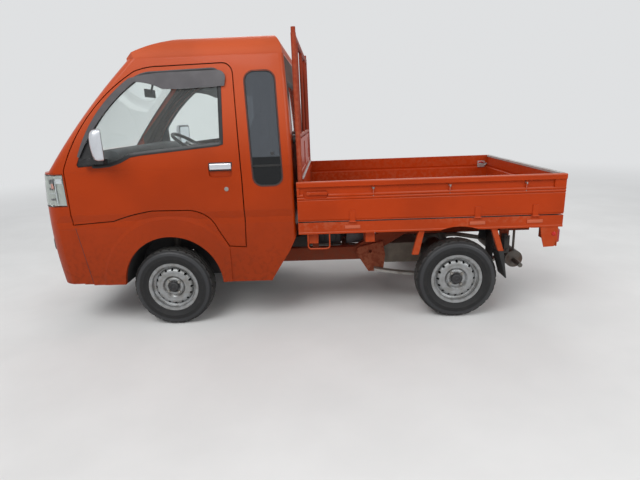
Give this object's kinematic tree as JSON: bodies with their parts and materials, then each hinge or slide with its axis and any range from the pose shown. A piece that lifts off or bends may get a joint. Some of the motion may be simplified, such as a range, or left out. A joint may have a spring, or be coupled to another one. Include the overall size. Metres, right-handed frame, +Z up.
{
  "type": "kei truck",
  "caption": "Small cab-over pickup with an extended high-roofed cab, drop-sided load bed, guard frame behind the cab and steel wheels.",
  "frame": {"origin": "on the ground, at the middle of the length and width", "axes": "-X towards the front of the truck, +X to the rear, -Y to its left side, +Z up"},
  "size_m": [3.3953, 1.81, 1.8849],
  "materials": {
    "bare_steel": "satin",
    "black_plastic": "matte",
    "body_orange": "gloss",
    "cast_dark": "rough",
    "chassis_black": "satin",
    "glass_clear": "gloss",
    "glass_dark": "gloss",
    "grey_plastic": "matte",
    "lamp_lens": "gloss",
    "mirror_chrome": "polished",
    "muffler_steel": "satin",
    "rim_silver": "satin",
    "rubber": "matte",
    "seat_fabric": "matte",
    "smoke_plastic": "gloss",
    "tail_lens": "gloss",
    "tank_black": "satin",
    "tyre": "matte"
  },
  "bodies": {
    "chassis": {"bed_brackets": "body_orange", "bed_floor": "body_orange", "cab_body": "body_orange", "cab_floor": "black_plastic", "chassis_frame": "chassis_black", "dashboard": "grey_plastic", "drive_shaft": "bare_steel", "engine": "cast_dark", "exhaust": "muffler_steel", "fog_bezels": "black_plastic", "front_bumper": "body_orange", "front_fenders": "body_orange", "front_grilles": "black_plastic", "front_panel": "body_orange", "front_suspension": "chassis_black", "fuel_tank": "tank_black", "guard_frame": "body_orange", "headboard": "body_orange", "headlamps": "lamp_lens", "high_roof": "body_orange", "lamp_plates": "body_orange", "leaf_springs": "bare_steel", "mudflaps": "rubber", "quarter_windows": "glass_dark", "rear_axle": "cast_dark", "rear_window": "glass_clear", "rope_hooks": "chassis_black", "seat_backs": "seat_fabric", "seat_cushions": "seat_fabric", "spring_brackets": "chassis_black", "tail_lamps": "tail_lens", "windscreen": "glass_clear"},
    "door_left": {"door_left": "body_orange", "door_glass_left": "glass_clear", "visor_left": "smoke_plastic", "mirror_left": "mirror_chrome"},
    "door_right": {"door_right": "body_orange", "door_glass_right": "glass_clear", "visor_right": "smoke_plastic", "mirror_right": "mirror_chrome"},
    "steering_wheel": {"steering_wheel": "black_plastic"},
    "knuckle_left": {"knuckle_left": "cast_dark"},
    "knuckle_right": {"knuckle_right": "cast_dark"},
    "wheel_front_left": {"rim_front_left": "rim_silver", "tyre_front_left": "tyre"},
    "wheel_front_right": {"rim_front_right": "rim_silver", "tyre_front_right": "tyre"},
    "wheel_rear_left": {"rim_rear_left": "rim_silver", "tyre_rear_left": "tyre"},
    "wheel_rear_right": {"rim_rear_right": "rim_silver", "tyre_rear_right": "tyre"},
    "side_gate_left": {"side_gate_left": "body_orange"},
    "side_gate_right": {"side_gate_right": "body_orange"},
    "tailgate": {"tailgate": "body_orange"}
  },
  "joints": [
    {"name": "door_left_hinge", "type": "hinge", "parent": "chassis", "child": "door_left", "pos_m": [-1.4625, -0.741, 1], "axis": [0, 0, -1], "range_deg": [0, 70]},
    {"name": "door_right_hinge", "type": "hinge", "parent": "chassis", "child": "door_right", "pos_m": [-1.4625, 0.741, 1], "axis": [0, 0, 1], "range_deg": [0, 70]},
    {"name": "steer_left", "type": "hinge", "parent": "chassis", "child": "knuckle_left", "pos_m": [-0.8625, -0.6, 0.19], "axis": [0, 0.2255, 0.9742], "range_deg": [-35, 35]},
    {"name": "steer_right", "type": "hinge", "parent": "chassis", "child": "knuckle_right", "pos_m": [-0.8625, 0.6, 0.19], "axis": [0, -0.2255, 0.9742], "range_deg": [-35, 35]},
    {"name": "steering_wheel_turn", "type": "hinge", "parent": "chassis", "child": "steering_wheel", "pos_m": [-0.9505, 0.35, 1.155], "axis": [0.5447, 0, 0.8386], "range_deg": [-630, 630]},
    {"name": "wheel_front_left_spin", "type": "hinge", "parent": "knuckle_left", "child": "wheel_front_left", "pos_m": [-0.8625, -0.652, 0.268], "axis": [0, 1, 0], "continuous": true},
    {"name": "wheel_front_right_spin", "type": "hinge", "parent": "knuckle_right", "child": "wheel_front_right", "pos_m": [-0.8625, 0.652, 0.268], "axis": [0, 1, 0], "continuous": true},
    {"name": "wheel_rear_left_spin", "type": "hinge", "parent": "chassis", "child": "wheel_rear_left", "pos_m": [1.0375, -0.65, 0.268], "axis": [0, 1, 0], "continuous": true},
    {"name": "wheel_rear_right_spin", "type": "hinge", "parent": "chassis", "child": "wheel_rear_right", "pos_m": [1.0375, 0.65, 0.268], "axis": [0, 1, 0], "continuous": true},
    {"name": "side_gate_left_hinge", "type": "hinge", "parent": "chassis", "child": "side_gate_left", "pos_m": [0.8375, -0.7321, 0.688], "axis": [1, 0, 0], "range_deg": [0, 180]},
    {"name": "side_gate_right_hinge", "type": "hinge", "parent": "chassis", "child": "side_gate_right", "pos_m": [0.8375, 0.7321, 0.688], "axis": [-1, 0, 0], "range_deg": [0, 180]},
    {"name": "tailgate_hinge", "type": "hinge", "parent": "chassis", "child": "tailgate", "pos_m": [1.6923, 0, 0.688], "axis": [0, 1, 0], "range_deg": [0, 180]}
  ],
  "couplings": [
    {"joint": "steer_right", "follows": "steer_left", "ratio": 1},
    {"joint": "steering_wheel_turn", "follows": "steer_left", "ratio": 18}
  ]
}
